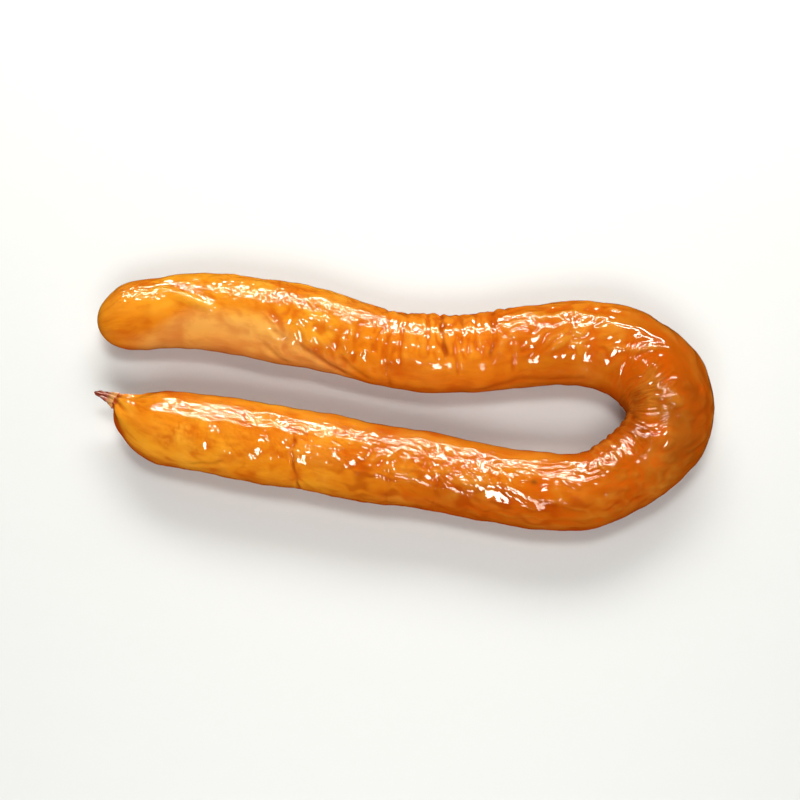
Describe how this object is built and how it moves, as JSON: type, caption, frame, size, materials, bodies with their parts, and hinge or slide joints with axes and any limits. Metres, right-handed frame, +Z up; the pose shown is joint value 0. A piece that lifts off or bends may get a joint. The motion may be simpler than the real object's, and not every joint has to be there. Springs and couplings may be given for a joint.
{
  "type": "smoked sausage, long and folded once",
  "caption": "Long smoked sausage in natural casing, folded once into a hairpin, with a round end and a tied end. Lies flat.",
  "frame": {"origin": "on the surface that the sausage lies on, under the middle of its outline", "axes": "+X along both legs towards the fold, +Y across them towards the leg with the round end, +Z up"},
  "size_m": [0.3454, 0.1402, 0.0468],
  "materials": {
    "casing": "oily natural casing, amber to deep orange, wrinkled and glossy"
  },
  "bodies": {
    "root": {"sausage": "casing"}
  },
  "joints": []
}
